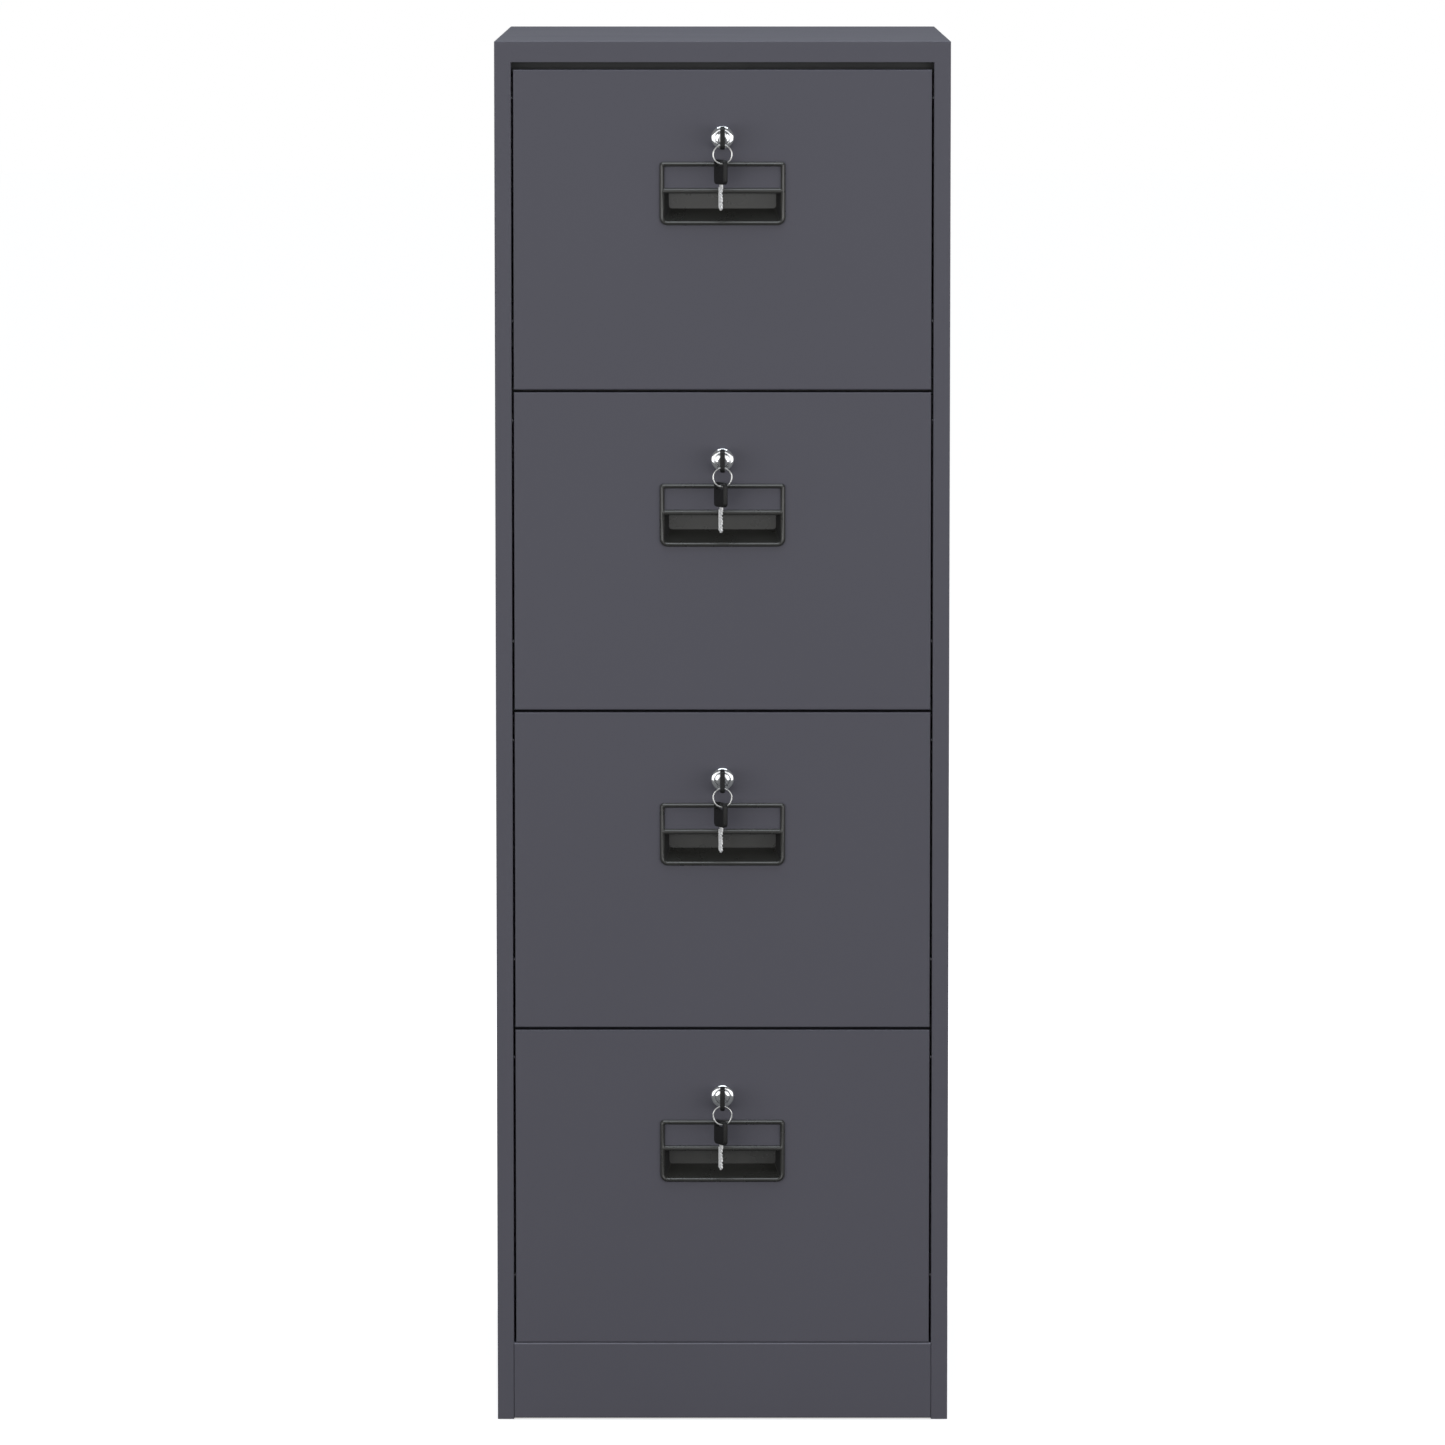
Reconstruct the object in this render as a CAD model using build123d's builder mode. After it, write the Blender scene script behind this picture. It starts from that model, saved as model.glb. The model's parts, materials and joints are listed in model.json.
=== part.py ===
# Four-drawer metal filing cabinet for hanging files, with a cam lock and two keys on every drawer.
# Millimetres, +Z up. The front faces -Y and the origin is the middle of the footprint, on the floor.
import os
from math import cos, radians, sin, sqrt

from build123d import *

os.makedirs("parts", exist_ok=True)

# ---------- overall sizes ----------
width = 435.0
depth = 620.0
height = 1330.0
drawer_count = 4

# ---------- sheet metal ----------
sheet = 0.8  # body panels and drawer sheets
bend = 1.2  # outside radius of a folded edge
seam = 0.05  # hair gap between sheets that are spot-welded to each other

# ---------- carcass ----------
stile_width = 16.0
stile_return = 20.0
rear_flange = 15.0
top_flange = 14.0
cap_height = 20.0
cap_return = 12.0
plinth_height = 74.8
plinth_floor_gap = 1.0
plinth_side_gap = 0.2
plinth_depth = 30.0
plinth_back_drop = 24.0
plinth_foot = 18.0
tray_height = 70.0
tray_sheet = 1.0
tray_foot = 25.0
upright_width = 30.0
upright_sheet = 1.2
upright_front_inset = 25.0
upright_rear_inset = 50.0
anchor_hole = 4.0  # radius of the two wall-anchor holes
anchor_spacing = 300.0
anchor_drop = 50.0
screw_head = 3.5
screw_head_height = 2.2
screw_shank = 1.9
screw_hole = 2.1
screw_length = 4.0
screws_per_side = 5

# ---------- gaps round the drawer fronts ----------
top_gap = 7.2
side_gap = 2.0
drawer_gap = 2.4
plinth_gap = 0.4

# ---------- drawer front and box ----------
front_depth = 20.0
front_return = 16.0
box_floor_rise = 14.0  # underside of the box above the front's lower edge
box_top_drop = 45.0  # rim of the box below the front's upper edge
box_rear_clearance = 36.4  # behind the box, up to the back panel
hem_height = 12.0
file_rail_spacing = 330.0
file_rail_thickness = 3.0
file_rail_height = 12.0
rail_hook = 1.2
rail_hook_drop = 8.0

# ---------- ball-bearing slides ----------
slide_thickness = 12.7
slide_length = 550.0
slide_start = 30.0  # front end of the slides behind the cabinet's front
slide_rise = 60.0  # slide's centre line above the drawer front's lower edge
slide_steel = 1.2
outer_half_height = 22.75
middle_half_height = 18.1
inner_half_height = 13.5
outer_flange = 10.5
middle_flange = 8.0
inner_flange = 7.7
middle_web_inset = 2.0

# ---------- cross rails and strikes ----------
rail_front_gap = 2.0
rail_depth = 24.0
rail_rise = 12.0
rail_drop = 4.0
rail_sheet = 1.2
strike_width = 50.0
strike_sheet = 1.2
strike_drop = 12.0
strike_rise = 8.0
buffer_drops = (27.0, 239.5)  # below each drawer's upper edge
buffer_height = 2.0
buffer_length = 10.0
buffer_inset = 3.0
buffer_thickness = 1.4

# ---------- handle ----------
handle_width = 120.0
handle_height = 60.4
handle_top_drop = 87.6
handle_proud = 3.5
handle_bar = 4.4
handle_top_corner = 3.5
handle_bottom_corner = 7.5
handle_edge = 1.4
divider_bar = 5.0
pocket_height = 26.0
pocket_depth = 17.0
pocket_back_width = 102.5
pocket_back_height = 15.0
pocket_wall = 1.2
pocket_clearance = 0.4

# ---------- lock ----------
lock_drop = 64.4
dome_radius = 11.6
dome_sphere = 13.5
barrel_radius = 9.4
barrel_length = 22.7
barrel_clearance = 0.3
plug_radius = 6.5
plug_clearance = 0.1
plug_tail = 7.0
nut_flats = 24.0
nut_height = 4.2
cam_thickness = 2.0
cam_gap = 0.4
cam_length = 58.0
cam_width = 14.0
cam_eye = 9.0
cam_screw_radius = 5.0
cam_screw_height = 2.5

# ---------- keys and ring ----------
key_head_length = 23.6
key_head_width = 21.4
key_head_thickness = 4.6
key_head_corner = 4.0
key_slot_length = 16.6
key_slot_width = 4.5
key_slot_margin = 2.2
key_blade_length = 24.7
key_blade_width = 7.0
key_blade_thickness = 2.0
keyway_clearance = 0.2
keyway_end = 1.2
key_standoff = 0.7
ring_radius = 8.75  # to the middle of the wire
ring_wire = 0.9
ring_sag = 0.45  # middle of the wire below the centre of the slot's round end
spare_turn = 63.0  # spare key's head, turned from facing the front
spare_shift = 3.6  # along its slot, to the left
spare_lift = 1.6  # upper edge of the spare key's slot above the middle of the wire

# ---------- places worked out from the sizes above ----------
half_width = width / 2
front = -depth / 2
back = depth / 2
inner_half = half_width - stile_width
wall_inside = half_width - sheet
carcass_top = height - cap_height
front_half = inner_half - side_gap
fronts_height = carcass_top - top_gap - plinth_height - plinth_gap - (drawer_count - 1) * drawer_gap
front_height = fronts_height / drawer_count
drawer_pitch = front_height + drawer_gap
drawer_tops = [carcass_top - top_gap - n * drawer_pitch for n in range(drawer_count)]
front_rear = front + front_depth

box_half = inner_half - slide_thickness
box_top = -box_top_drop
box_bottom = -front_height + box_floor_rise
box_front = front_rear + sheet  # inner face of the box's front wall
box_back = back - 2 * sheet - box_rear_clearance - sheet  # inner face of its back wall

slide_centre = -front_height + slide_rise
slide_front = front + slide_start
slide_back = slide_front + slide_length
rail_front = front_rear + rail_front_gap

handle_top = -handle_top_drop
handle_bottom = handle_top - handle_height
pocket_bottom = handle_bottom + handle_bar
pocket_top = pocket_bottom + pocket_height
window_bottom = pocket_top + divider_bar
window_top = handle_top - handle_bar
opening_half = handle_width / 2 - handle_bar

lock_z = -lock_drop
plug_bore = plug_radius + plug_clearance
barrel_rear = front + barrel_length
cam_front = barrel_rear + cam_gap
cam_rear = cam_front + cam_thickness


def dome_y(radius):
    # where the dome's surface lies at a distance from the lock's axis
    return front + sqrt(dome_sphere**2 - dome_radius**2) - sqrt(dome_sphere**2 - radius**2)


plug_front = dome_y(plug_bore)
slot_end_offset = (key_slot_length - key_slot_width) / 2
key_slot_to_blade = key_head_length - key_slot_margin - key_slot_width / 2
ring_y = plug_front - key_standoff - key_slot_to_blade
ring_top_z = lock_z - slot_end_offset - ring_sag
ring_z = ring_top_z - ring_radius
ring_bottom_z = ring_z - ring_radius


def slab(x, y, z, mode=Mode.ADD):
    # a block between two x, two y and two z values
    with Locations(((x[0] + x[1]) / 2, (y[0] + y[1]) / 2, (z[0] + z[1]) / 2)):
        Box(x[1] - x[0], y[1] - y[0], z[1] - z[0], mode=mode)


def sides(x, y, z):
    # the same block on the right and, mirrored, on the left
    slab(x, y, z)
    slab((-x[1], -x[0]), y, z)


def write(piece, name):
    piece.part.label = name
    export_step(piece.part, f"parts/{name}.step")


def facing(y):
    # a plane across the cabinet at a depth y, seen from the front
    return Plane.XZ.offset(-y)


# ---------- side panels: wall, stile, stile return, rear flange and top flange ----------
rear_screw_x = half_width - rear_flange / 2
rear_screw_step = carcass_top / screws_per_side
rear_screw_z = [rear_screw_step * (n + 0.5) for n in range(screws_per_side)]

with BuildPart() as left_side_panel:
    with BuildSketch() as section:
        with BuildLine():
            FilletPolyline(
                (-inner_half, front + stile_return),
                (-inner_half, front),
                (-half_width, front),
                (-half_width, back),
                (-half_width + rear_flange, back),
                radius=bend,
            )
            offset(amount=sheet, side=Side.RIGHT)
        make_face()
    extrude(amount=carcass_top)
    slab(
        (-half_width + sheet / 2, -half_width + sheet + top_flange),
        (front + bend, back - bend),
        (carcass_top - sheet, carcass_top),
    )
    with BuildSketch(facing(back)):
        with Locations(*[(-rear_screw_x, z) for z in rear_screw_z]):
            Circle(screw_hole)
    extrude(amount=sheet, mode=Mode.SUBTRACT)
write(left_side_panel, "left_side_panel")

with BuildPart() as right_side_panel:
    mirror(left_side_panel.part, about=Plane.YZ)
write(right_side_panel, "right_side_panel")

# ---------- top cap: a tray turned upside down, with its rim folded in ----------
with BuildPart() as top_cap:
    slab((-half_width, half_width), (front, back), (carcass_top, height))
    fillet(top_cap.faces().sort_by(Axis.Z)[-1].edges() + top_cap.edges().filter_by(Axis.Z), bend)
    offset(amount=-sheet, openings=top_cap.faces().sort_by(Axis.Z)[0])
    with BuildSketch(Plane.XY.offset(carcass_top)):
        RectangleRounded(width - sheet, depth - sheet, bend)
        Rectangle(width - 2 * cap_return, depth - 2 * cap_return, mode=Mode.SUBTRACT)
    extrude(amount=sheet)
write(top_cap, "top_cap")

# ---------- back panel, inside the rear flanges ----------
with BuildPart() as back_panel:
    panel_half = wall_inside - (bend - sheet)  # clear of the inside of the rear folds
    slab((-panel_half, panel_half), (back - 2 * sheet, back - sheet), (0, carcass_top - sheet))
    with BuildSketch(facing(back - sheet)):
        with Locations(*[(sign * rear_screw_x, z) for sign in (-1, 1) for z in rear_screw_z]):
            Circle(screw_hole)
        with Locations((0, carcass_top - anchor_drop)):
            with GridLocations(anchor_spacing, 1, 2, 1):
                Circle(anchor_hole)
    extrude(amount=sheet, mode=Mode.SUBTRACT)
write(back_panel, "back_panel")

# ---------- base tray: cabinet floor with its sides turned down to the ground ----------
with BuildPart() as base_tray:
    tray_y = (front + plinth_depth, back - 2 * sheet)
    slab((-wall_inside, wall_inside), tray_y, (0, tray_height))
    offset(amount=-tray_sheet, openings=base_tray.faces().sort_by(Axis.Z)[0])
    with BuildSketch(Plane.XY):
        with Locations((0, sum(tray_y) / 2)):
            tray_depth = tray_y[1] - tray_y[0]
            Rectangle(2 * wall_inside, tray_depth)
            Rectangle(2 * (wall_inside - tray_foot), tray_depth - 2 * tray_foot, mode=Mode.SUBTRACT)
    extrude(amount=tray_sheet)
write(base_tray, "base_tray")

# ---------- plinth: one folded strip between the stiles ----------
with BuildPart() as plinth:
    with BuildSketch(Plane.YZ):
        with BuildLine():
            FilletPolyline(
                (front + plinth_depth, plinth_height - plinth_back_drop),
                (front + plinth_depth, plinth_height),
                (front, plinth_height),
                (front, plinth_floor_gap),
                (front + plinth_foot, plinth_floor_gap),
                radius=bend,
            )
            offset(amount=sheet, side=Side.LEFT)
        make_face()
    extrude(amount=inner_half - plinth_side_gap, both=True)
write(plinth, "plinth")

# ---------- uprights: channels on the side walls that carry the slides ----------
with BuildPart() as slide_uprights:
    upright_z = (tray_height, carcass_top - sheet)
    for y0 in (front + upright_front_inset, back - upright_rear_inset - upright_width):
        y1 = y0 + upright_width
        sides((inner_half, inner_half + upright_sheet), (y0, y1), upright_z)
        sides((inner_half, wall_inside), (y0, y0 + upright_sheet), upright_z)
        sides((inner_half, wall_inside), (y1 - upright_sheet, y1), upright_z)
write(slide_uprights, "slide_uprights")

# ---------- cross rails behind the gaps, with a strike plate for each lock ----------
with BuildPart() as cross_rails:
    for top in drawer_tops:
        rail_x = (-inner_half, inner_half)
        rail_z = (top - rail_drop, top + rail_rise)
        rail_y = (rail_front, rail_front + rail_depth)
        slab(rail_x, (rail_y[0], rail_y[0] + rail_sheet), rail_z)
        slab(rail_x, (rail_y[1] - rail_sheet, rail_y[1]), rail_z)
        slab(rail_x, rail_y, (rail_z[1] - rail_sheet, rail_z[1]))
write(cross_rails, "cross_rails")

with BuildPart() as lock_strikes:
    for top in drawer_tops:
        strike_z = (top - strike_drop, top + strike_rise)
        slab((-strike_width / 2, strike_width / 2), (rail_front - strike_sheet, rail_front), strike_z)
write(lock_strikes, "lock_strikes")

# ---------- slides: the outer members are fixed to the uprights ----------
with BuildPart() as slide_outer_members:
    for top in drawer_tops:
        z = top + slide_centre
        y = (slide_front, slide_back)
        flange_x = (inner_half - outer_flange, inner_half)
        sides((inner_half - slide_steel, inner_half), y, (z - outer_half_height, z + outer_half_height))
        sides(flange_x, y, (z + outer_half_height - slide_steel, z + outer_half_height))
        sides(flange_x, y, (z - outer_half_height, z - outer_half_height + slide_steel))
write(slide_outer_members, "slide_outer_members")

# ---------- buffers on the stile returns, which centre the closing fronts ----------
with BuildPart() as gap_buffers:
    for top in drawer_tops:
        for drop in buffer_drops:
            sides(
                (inner_half - buffer_thickness, inner_half),
                (front + buffer_inset, front + buffer_inset + buffer_length),
                (top - drop - buffer_height / 2, top - drop + buffer_height / 2),
            )
write(gap_buffers, "gap_buffers")

# ---------- screws that hold the back panel to the rear flanges ----------
with BuildPart() as carcass_screws:
    with BuildSketch(facing(back)):
        with Locations(*[(sign * rear_screw_x, z) for sign in (-1, 1) for z in rear_screw_z]):
            Circle(screw_head)
    extrude(amount=-screw_head_height)
    with BuildSketch(facing(back)):
        with Locations(*[(sign * rear_screw_x, z) for sign in (-1, 1) for z in rear_screw_z]):
            Circle(screw_shank)
    extrude(amount=screw_length)
write(carcass_screws, "carcass_screws")

# From here on a drawer's pieces are drawn with z = 0 at the upper edge of its front.

# ---------- drawer front: a pan with its rim folded in, and openings for lock and handle ----------
with BuildPart() as drawer_front:
    slab((-front_half, front_half), (front, front_rear), (-front_height, 0))
    fillet(drawer_front.faces().sort_by(Axis.Y)[0].edges(), bend)
    offset(amount=-sheet, openings=drawer_front.faces().sort_by(Axis.Y)[-1])
    with BuildSketch(facing(front_rear)):
        with Locations((0, -front_height / 2)):
            Rectangle(2 * front_half - sheet, front_height - sheet)
            Rectangle(
                2 * (front_half - front_return), front_height - 2 * front_return, mode=Mode.SUBTRACT
            )
    extrude(amount=sheet)
    with BuildSketch(facing(front)):
        with Locations((0, lock_z)):
            Circle(barrel_radius + barrel_clearance)
        cut_margin = pocket_wall + pocket_clearance
        with Locations((0, (pocket_top + pocket_bottom) / 2)):
            Rectangle(2 * (opening_half + cut_margin), pocket_height + 2 * cut_margin)
    extrude(amount=-front_depth / 4, mode=Mode.SUBTRACT)

# ---------- drawer box: floor, two hemmed sides, front wall and back wall ----------
with BuildPart() as drawer_box:
    box_z = (box_bottom, box_top)
    run_y = (box_front + seam, box_back - seam)
    floor_half = box_half - sheet - seam
    slab((-floor_half, floor_half), run_y, (box_bottom, box_bottom + sheet))
    sides((box_half - sheet, box_half), run_y, box_z)
    sides((box_half - 2 * sheet, box_half), run_y, (box_top - hem_height, box_top))
    slab((-box_half, box_half), (box_front - sheet, box_front), box_z)
    slab((-box_half, box_half), (box_back, box_back + sheet), box_z)
    with BuildSketch(facing(box_front)):
        with Locations((0, lock_z)):
            Circle(barrel_radius + barrel_clearance)
    extrude(amount=sheet, mode=Mode.SUBTRACT)

# ---------- rails that the hanging files ride on, hooked over the end walls ----------
with BuildPart() as hanging_rails:
    rail_half = file_rail_thickness / 2
    rail_x = (file_rail_spacing / 2 - rail_half, file_rail_spacing / 2 + rail_half)
    hook_y = (box_front - sheet - rail_hook, box_back + sheet + rail_hook)
    sides(rail_x, (box_front, box_back), (box_top - file_rail_height, box_top))
    sides(rail_x, hook_y, (box_top, box_top + rail_hook))
    sides(rail_x, (hook_y[0], hook_y[0] + rail_hook), (box_top - rail_hook_drop, box_top))
    sides(rail_x, (hook_y[1] - rail_hook, hook_y[1]), (box_top - rail_hook_drop, box_top))

# ---------- handle: label frame above, finger pocket below, in one moulding ----------
with BuildPart() as handle:
    with BuildSketch(facing(front)) as outline:
        with Locations((0, (handle_top + handle_bottom) / 2)):
            Rectangle(handle_width, handle_height)
        corners = outline.vertices().sort_by(Axis.Y)
        fillet(corners[:2], handle_bottom_corner)
        fillet(corners[2:], handle_top_corner)
    extrude(amount=handle_proud)
    fillet(handle.faces().sort_by(Axis.Y)[0].edges(), handle_edge)
    # the pocket's outside, which slopes in to a smaller back wall
    for wall, end in ((pocket_wall, pocket_depth), (0.0, pocket_depth - pocket_wall)):
        with BuildSketch(facing(front)):
            with Locations((0, (pocket_top + pocket_bottom) / 2)):
                Rectangle(2 * (opening_half + wall), pocket_height + 2 * wall)
        with BuildSketch(facing(front + end)):
            with Locations((0, pocket_top - pocket_back_height / 2)):
                Rectangle(pocket_back_width + 2 * wall, pocket_back_height + 2 * wall)
        loft(mode=Mode.ADD if wall else Mode.SUBTRACT)
    with BuildSketch(facing(front)):
        with Locations((0, (pocket_top + pocket_bottom) / 2)):
            Rectangle(2 * opening_half, pocket_height)
        with Locations((0, (window_top + window_bottom) / 2)):
            Rectangle(2 * opening_half, window_top - window_bottom)
    extrude(amount=handle_proud, mode=Mode.SUBTRACT)

# ---------- lock: domed body with its nut, plug, and cam with its screw ----------
lock_axis = Axis((0, 0, lock_z), (0, 1, 0))

with BuildPart() as lock_body:
    with BuildSketch(Plane.XY.offset(lock_z)):
        with BuildLine():
            Polyline(
                (plug_bore, plug_front),
                (plug_bore, barrel_rear),
                (barrel_radius, barrel_rear),
                (barrel_radius, front),
                (dome_radius, front),
            )
            shoulder = (plug_bore + dome_radius) / 2
            ThreePointArc((dome_radius, front), (shoulder, dome_y(shoulder)), (plug_bore, plug_front))
        make_face()
    revolve(axis=lock_axis)
    with BuildSketch(facing(front + sheet)):
        with Locations((0, lock_z)):
            RegularPolygon(nut_flats / 2, 6, major_radius=False)
            Circle(barrel_radius + seam, mode=Mode.SUBTRACT)
    extrude(amount=-nut_height)

with BuildPart() as lock_plug:
    with BuildSketch(facing(plug_front)):
        with Locations((0, lock_z)):
            Circle(plug_radius)
    extrude(amount=plug_front - barrel_rear)
    with BuildSketch(facing(barrel_rear)):
        with Locations((0, lock_z)):
            Rectangle(plug_tail, plug_tail)
    extrude(amount=barrel_rear - cam_rear)
    slot_half = (key_blade_thickness / 2 + keyway_clearance, key_blade_width / 2 + keyway_clearance)
    slab(
        (-slot_half[0], slot_half[0]),
        (plug_front, barrel_rear - keyway_end),
        (lock_z - slot_half[1], lock_z + slot_half[1]),
        mode=Mode.SUBTRACT,
    )

with BuildPart() as lock_cam:
    with BuildSketch(facing(cam_front)):
        with Locations((0, lock_z)):
            Circle(cam_eye)
        with Locations((-cam_length / 2, lock_z)):
            Rectangle(cam_length, cam_width)
        with Locations((0, lock_z)):
            Rectangle(plug_tail + 2 * seam, plug_tail + 2 * seam, mode=Mode.SUBTRACT)
    extrude(amount=-cam_thickness)
    with BuildSketch(facing(cam_rear + seam)):
        with Locations((0, lock_z)):
            Circle(cam_screw_radius)
    extrude(amount=-cam_screw_height)


# ---------- keys: moulded head with a slot for the ring, and a flat blade ----------
def make_key(plane):
    # the plane's x runs from the slot's centre to the blade's tip, and its y across the head
    with BuildPart() as key:
        with BuildSketch(plane.offset(-key_head_thickness / 2)):
            with Locations((key_slot_to_blade - key_head_length / 2, 0)):
                RectangleRounded(key_head_length, key_head_width, key_head_corner)
            SlotOverall(key_slot_length, key_slot_width, rotation=90, mode=Mode.SUBTRACT)
        extrude(amount=key_head_thickness)
        with BuildSketch(plane.offset(-key_blade_thickness / 2)):
            with Locations((key_slot_to_blade + seam + key_blade_length / 2, 0)):
                Rectangle(key_blade_length, key_blade_width)
        extrude(amount=key_blade_thickness)
    return key


key_in_lock = make_key(Plane(origin=(0, ring_y, lock_z), x_dir=(0, 1, 0), z_dir=(1, 0, 0)))

turn = radians(spare_turn)
across = Vector(cos(turn), -sin(turn), 0)
spare_origin = Vector(0, ring_y, ring_bottom_z + spare_lift - key_slot_width / 2) - across * spare_shift
spare_key = make_key(
    Plane(origin=spare_origin, x_dir=(0, 0, -1), z_dir=Vector(0, 0, -1).cross(across))
)

with BuildPart() as key_ring:
    with Locations(Plane(origin=(0, ring_y, ring_z), z_dir=(0, 1, 0))):
        Torus(ring_radius, ring_wire)

# ---------- slides: the middle members run between the outer and inner ones ----------
with BuildPart() as slide_middle:
    z = slide_centre
    y = (slide_front + slide_steel, slide_back - slide_steel)
    web = inner_half - slide_steel - middle_web_inset
    sides((web - slide_steel, web), y, (z - middle_half_height, z + middle_half_height))
    sides((web - middle_flange, web), y, (z + middle_half_height - slide_steel, z + middle_half_height))
    sides((web - middle_flange, web), y, (z - middle_half_height, z - middle_half_height + slide_steel))

with BuildPart() as slide_inner:
    y = (slide_front, slide_back)
    flange_x = (box_half, box_half + inner_flange)
    sides((box_half, box_half + slide_steel), y, (z - inner_half_height, z + inner_half_height))
    sides(flange_x, y, (z + inner_half_height - slide_steel, z + inner_half_height))
    sides(flange_x, y, (z - inner_half_height, z - inner_half_height + slide_steel))

# ---------- every drawer gets its own copy of each piece ----------
drawer_pieces = {
    "front": drawer_front,
    "box": drawer_box,
    "hanging_rails": hanging_rails,
    "handle": handle,
    "lock_body": lock_body,
    "lock_plug": lock_plug,
    "lock_cam": lock_cam,
    "key": key_in_lock,
    "key_ring": key_ring,
    "spare_key": spare_key,
    "slide_middle": slide_middle,
    "slide_inner": slide_inner,
}
for number, top in enumerate(drawer_tops, start=1):
    for piece_name, pattern in drawer_pieces.items():
        with BuildPart() as placed:
            with Locations((0, 0, top)):
                add(pattern.part)
        write(placed, f"drawer_{number}_{piece_name}")
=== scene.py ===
import json
from math import cos, pi, radians, sin, tau
import bpy
from mathutils import Matrix, Vector


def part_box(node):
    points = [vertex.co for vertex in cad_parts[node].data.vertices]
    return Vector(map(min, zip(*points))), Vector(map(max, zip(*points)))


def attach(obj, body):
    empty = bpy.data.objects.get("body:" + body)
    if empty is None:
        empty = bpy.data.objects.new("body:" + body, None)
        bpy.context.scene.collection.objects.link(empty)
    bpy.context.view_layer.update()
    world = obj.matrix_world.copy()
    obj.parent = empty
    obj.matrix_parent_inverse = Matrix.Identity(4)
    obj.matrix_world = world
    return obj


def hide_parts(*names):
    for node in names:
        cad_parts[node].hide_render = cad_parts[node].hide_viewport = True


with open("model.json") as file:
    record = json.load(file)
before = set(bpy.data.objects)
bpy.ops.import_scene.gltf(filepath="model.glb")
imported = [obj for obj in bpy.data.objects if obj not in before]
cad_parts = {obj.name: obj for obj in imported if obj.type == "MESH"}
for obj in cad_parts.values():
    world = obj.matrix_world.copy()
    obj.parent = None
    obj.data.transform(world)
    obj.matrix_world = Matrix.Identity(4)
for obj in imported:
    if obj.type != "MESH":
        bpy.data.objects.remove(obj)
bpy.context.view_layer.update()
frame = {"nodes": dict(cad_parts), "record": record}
drawers = (1, 2, 3, 4)
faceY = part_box("drawer_1_front")[0].y  # the plane of the drawer fronts
drawerTop = {n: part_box(f"drawer_{n}_front")[1].z for n in drawers}
drop = {n: Vector((0, 0, drawerTop[n] - drawerTop[1])) for n in drawers}  # from drawer 1 to drawer n
print("frame loaded,", len(frame["nodes"]), "nodes")


# small tools

def objectMode():
    if bpy.context.object and bpy.context.object.mode != "OBJECT":
        bpy.ops.object.mode_set(mode="OBJECT")


def takeUp(piece):
    # makes this piece the only selected one
    objectMode()
    bpy.ops.object.select_all(action="DESELECT")
    piece.select_set(True)
    bpy.context.view_layer.objects.active = piece


def freeze(piece):
    # moves the object's place, turn and size into its mesh
    takeUp(piece)
    bpy.ops.object.transform_apply(location=True, rotation=True, scale=True)
    return piece


def addBlock(name, low, high):
    objectMode()
    bpy.ops.object.select_all(action="DESELECT")
    low, high = Vector(low), Vector(high)
    bpy.ops.mesh.primitive_cube_add(size=1, location=(low + high) / 2)
    piece = bpy.context.object
    piece.name = name
    piece.scale = high - low
    return freeze(piece)


def addRod(name, start, end, radius, sides=48):
    # a round bar along Y
    objectMode()
    bpy.ops.object.select_all(action="DESELECT")
    start, end = Vector(start), Vector(end)
    bpy.ops.mesh.primitive_cylinder_add(
        vertices=sides, radius=radius, depth=(end - start).length,
        location=(start + end) / 2, rotation=(pi / 2, 0, 0))
    piece = bpy.context.object
    piece.name = name
    return freeze(piece)


def pick(piece, kind, accepts):
    # selects the faces, edges or points that pass the test, and stays in edit mode
    takeUp(piece)
    bpy.ops.object.mode_set(mode="EDIT")
    bpy.ops.mesh.select_mode(type=kind)
    bpy.ops.mesh.select_all(action="DESELECT")
    bpy.ops.object.mode_set(mode="OBJECT")
    mesh = piece.data
    if kind == "FACE":
        for face in mesh.polygons:
            face.select = accepts(face.center, face.normal)
    elif kind == "EDGE":
        for edge in mesh.edges:
            edge.select = accepts(*[mesh.vertices[i].co for i in edge.vertices])
    else:
        for point in mesh.vertices:
            point.select = accepts(point.co)
    bpy.ops.object.mode_set(mode="EDIT")


def findFolds(mesh):
    # the edges where two faces meet at a clear angle
    sides = {}
    for face in mesh.polygons:
        for key in face.edge_keys:
            sides.setdefault(key, []).append(face.normal)
    return {key for key, pair in sides.items() if len(pair) == 2 and pair[0].angle(pair[1]) > radians(20)}


def roundEdges(piece, accepts, width, segments=3, profile=0.5):
    folds = {frozenset((tuple(piece.data.vertices[a].co), tuple(piece.data.vertices[b].co)))
             for a, b in findFolds(piece.data)}
    pick(piece, "EDGE", lambda a, b: frozenset((tuple(a), tuple(b))) in folds and accepts(a, b))
    bpy.ops.mesh.bevel(offset=width, segments=segments, profile=profile, affect="EDGES")
    objectMode()


def runsAlong(axis):
    # a test for edges that go along one axis, 0 for X, 1 for Y, 2 for Z
    return lambda a, b: abs(a[axis] - b[axis]) > 0.001


def applyModifier(piece, modifier):
    takeUp(piece)
    bpy.ops.object.modifier_apply(modifier=modifier.name)


def join(piece, other, how):
    # how is UNION or DIFFERENCE
    modifier = piece.modifiers.new("combine", "BOOLEAN")
    modifier.operation = how
    modifier.object = other
    modifier.solver = "EXACT"
    applyModifier(piece, modifier)
    bpy.data.objects.remove(other)


def softenAll(piece, width, segments=2, angle=35):
    modifier = piece.modifiers.new("soften", "BEVEL")
    modifier.width = width
    modifier.segments = segments
    modifier.limit_method = "ANGLE"
    modifier.angle_limit = radians(angle)
    modifier.harden_normals = False
    applyModifier(piece, modifier)


def shade(piece, angle=35):
    takeUp(piece)
    bpy.ops.object.shade_smooth_by_angle(angle=radians(angle))
    return piece


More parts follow.
